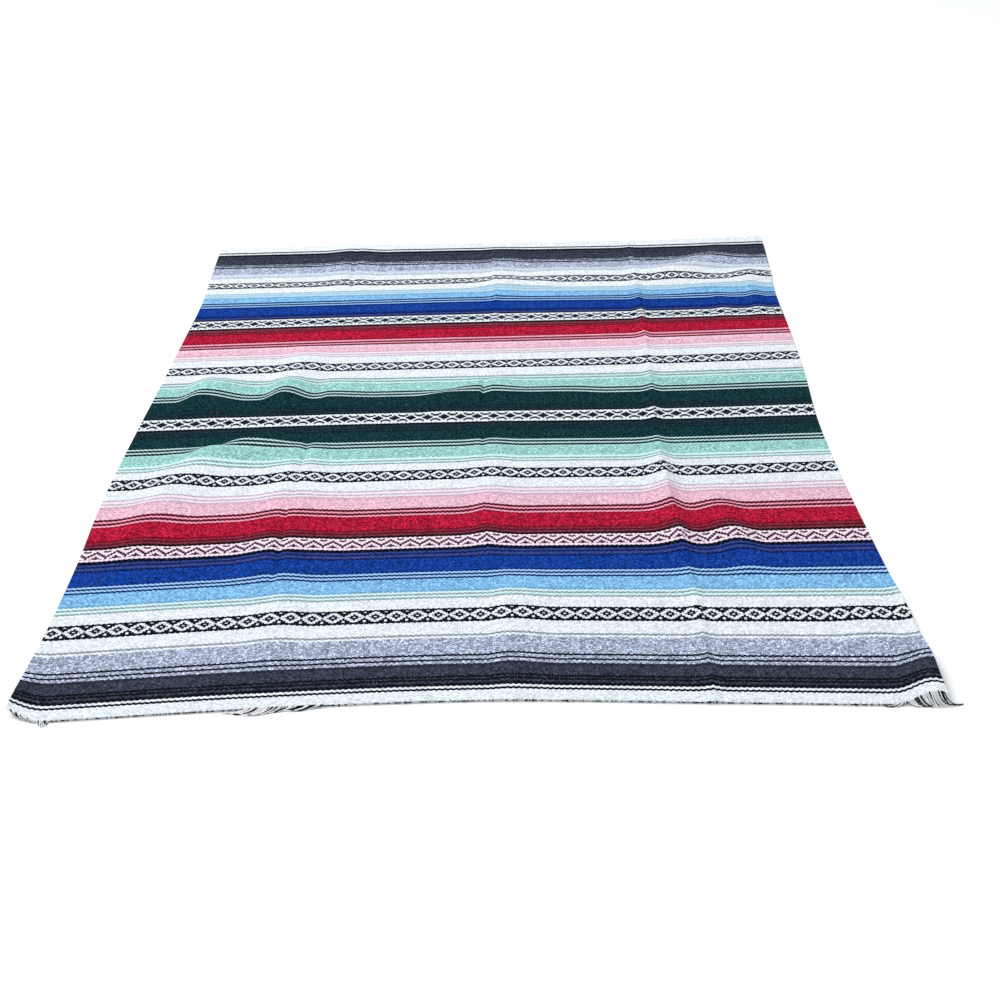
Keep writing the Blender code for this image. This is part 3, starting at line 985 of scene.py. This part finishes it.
# %% The paths of the warp ends
def end_paths(hem, outwards, tufts, dice):
    """Give the points of every warp end at a hem: a path of END_RINGS points each."""
    count = ENDS_PER_RIB * RIBS
    share = (np.arange(count) + 0.5) / count
    edge = hem(share)
    peep = dice.uniform(*PEEP, count) + STRAY_PEEP * (dice.random(count) < STRAY_SHARE)
    tuck = dice.uniform(*TUCK, count)
    sway = dice.uniform(-SWAY, SWAY, (2, count))
    layer = dice.choice(LAYERS, count)
    place_across = leaned(share, edge)
    root_x, root_y = weave_place(place_across, edge)
    underside = fold_height(place_across, edge, root_x, root_y) + hem_lift(edge)
    root = underside + CLOTH_WALL / 2

    # Each stop: how far out past the hem, how far to the right, and how high.
    none = np.zeros(count)
    stops = np.array([
        [none - ROOT_DEPTH, none, root],
        [peep, none, root - CLOTH_WALL / 4],
        [peep * 0.9, sway[0] * 0.1, (underside + layer) / 2],
        [-0.004 - peep, sway[0] * 0.4, layer],
        [-tuck * 0.5, sway[0], layer],
        [-tuck, sway[1], layer],
    ])
    for tuft in tufts:
        inside = (share > tuft.start) & (share < tuft.end)
        from_middle = (share - (tuft.start + tuft.end) / 2) / ((tuft.end - tuft.start) / 2)
        reach = tuft.reach * (0.55 + 0.45 * swell(from_middle)) * dice.uniform(0.75, 1.1, count)
        sweep = tuft.sweep * dice.uniform(0.75, 1.2, count)
        shown = np.array([
            [none - ROOT_DEPTH, none, root],
            [reach * 0.15, sweep * 0.03, root],
            [reach * 0.45, sweep * 0.20, root * 0.62 + layer * 0.38],
            [reach * 0.80, sweep * 0.50, root * 0.18 + layer * 0.82],
            [reach, sweep * 0.85, layer],
            [reach * 0.85, sweep * 1.30, layer],
        ])
        stops = np.where(inside, shown, stops)

    steps = np.linspace(0, len(stops) - 1, END_RINGS)
    out, right, z = (
        np.stack([curve(range(len(stops)), stops[:, part, end], steps) for end in range(count)])
        for part in range(3)
    )
    along = edge[:, np.newaxis] + outwards * out
    shares = np.broadcast_to(place_across[:, np.newaxis], along.shape)
    x, y = weave_place(shares, along)
    return np.stack([x + right + HEM_X, y + SKEW * right + HEM_Y, np.maximum(z, END_RADIUS)], axis=2)


def run_colours(count, dice):
    """Pick black (1) or white (0) for each warp end, in short runs of one yarn."""
    dark = np.zeros(count)
    for end in range(1, count):
        stays = dice.random() < (STAY_DARK if dark[end - 1] else STAY_WHITE)
        dark[end] = dark[end - 1] if stays else 1 - dark[end - 1]
    return dark


# %% Tubes round the paths
def build_ends(name, paths, dark):
    """Make closed tubes round the paths, mapped by end and yarn, and by place along the end."""
    count, rings, _ = paths.shape
    travel = np.gradient(paths, axis=1)
    travel /= np.linalg.norm(travel, axis=2, keepdims=True)
    sideways = np.array([1.0, 0.0, 0.0])
    first = sideways - travel * (travel @ sideways)[..., np.newaxis]
    first /= np.linalg.norm(first, axis=2, keepdims=True)
    second = np.cross(travel, first)
    points = []
    for side in range(END_SIDES):
        angle = math.tau * (side + 0.5) / END_SIDES
        points.append(paths + END_RADIUS * (math.cos(angle) * first + math.sin(angle) * second))
    points = np.stack(points, axis=2).reshape(-1, 3)

    faces = []
    for end in range(count):
        start = end * rings * END_SIDES
        for ring in range(rings - 1):
            low = start + ring * END_SIDES
            for side in range(END_SIDES):
                after = (side + 1) % END_SIDES
                faces.append((low + side, low + after, low + END_SIDES + after, low + END_SIDES + side))
        faces.append(tuple(start + side for side in reversed(range(END_SIDES))))
        last = start + (rings - 1) * END_SIDES
        faces.append(tuple(last + side for side in range(END_SIDES)))

    mesh = bpy.data.meshes.new(name)
    mesh.from_pydata(points.tolist(), [], faces)
    strand_map = mesh.uv_layers.new(name="strand")
    yarn_map = mesh.uv_layers.new(name="yarn")
    loop_points = np.zeros(len(mesh.loops), dtype=np.int32)
    mesh.loops.foreach_get("vertex_index", loop_points)
    end_of_loop = loop_points // (rings * END_SIDES)
    ring_of_loop = loop_points // END_SIDES % rings
    strand_map.data.foreach_set("uv", np.stack([end_of_loop, dark[end_of_loop]], axis=1).ravel())
    lengths = np.linalg.norm(np.diff(paths, axis=1), axis=2).cumsum(axis=1)
    lengths = np.concatenate([np.zeros((count, 1)), lengths], axis=1)
    around = loop_points % END_SIDES / END_SIDES
    yarn_map.data.foreach_set("uv", np.stack([around, lengths[end_of_loop, ring_of_loop]], axis=1).ravel())
    for face in mesh.polygons:
        face.use_smooth = True
    piece = bpy.data.objects.new(name, mesh)
    bpy.context.scene.collection.objects.link(piece)
    print(name, "triangles:", sum(len(face.vertices) - 2 for face in mesh.polygons))
    return piece


# %% The two fringes
dice = np.random.default_rng(7)
near_ends = build_ends(
    "fringe_near_ends",
    end_paths(near_hem, -1, NEAR_TUFTS, dice),
    run_colours(ENDS_PER_RIB * RIBS, dice),
)
far_ends = build_ends(
    "fringe_far_ends",
    end_paths(far_hem, 1, (), dice),
    run_colours(ENDS_PER_RIB * RIBS, dice),
)

# %% The warp yarn's finish
PLY_LENGTH = 0.004      # one turn of the two plies
# Painted shade: how much darker the groove between the two plies is.
PLY_GROOVE_SHADE = 0.25
PLY_RELIEF = 0.0003
END_SHADE = 0.92        # the darkest end's shade
END_SPREAD = 0.16       # how much lighter the lightest one is
END_WHITE = linear(250, 252, 254)
END_DARK = linear(22, 24, 30)

yarn = Finish("warp_yarn_ends")
strand = yarn.node("ShaderNodeUVMap", {"uv_map": "strand"})
split = yarn.node("ShaderNodeSeparateXYZ", None, {0: strand})
is_dark = Wire(yarn, split.socket.node.outputs[1])
yarn_place = yarn.node("ShaderNodeUVMap", {"uv_map": "yarn"})
split_place = yarn.node("ShaderNodeSeparateXYZ", None, {0: yarn_place})
turns = Wire(yarn, split_place.socket.node.outputs[1]) / PLY_LENGTH
ply = ((turns + split_place) * math.tau).cosine()
end_shade = END_SHADE + END_SPREAD * random_number(yarn, (split + 0.5).floor(), 3.0)
end_colour = yarn.mix(is_dark, END_WHITE, END_DARK)
# Painted shade in the groove between the plies, over each end's own tone.
shade = end_shade * (1 - PLY_GROOVE_SHADE * (0.5 - 0.5 * ply))
ply_bump = yarn.node("ShaderNodeBump", None, {"Distance": PLY_RELIEF, "Strength": 0.8, "Height": ply})
yarn.give(Base_Color=yarn.mix(1.0, end_colour, shade, "MULTIPLY"), Roughness=0.9, Specular_IOR_Level=0.02,
          Normal=ply_bump)
for piece in (near_ends, far_ends):
    piece.data.materials.append(yarn.material)
print("nodes in the warp yarn's finish:", len(yarn.tree.nodes))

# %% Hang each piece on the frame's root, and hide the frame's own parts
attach(cloth, "root")
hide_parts("cloth_panel")
for piece, node in ((near_ends, "fringe_near"), (far_ends, "fringe_far")):
    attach(piece, "root")
    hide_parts(node)

# %% Bring the scene up to date, and close
bpy.context.view_layer.update()
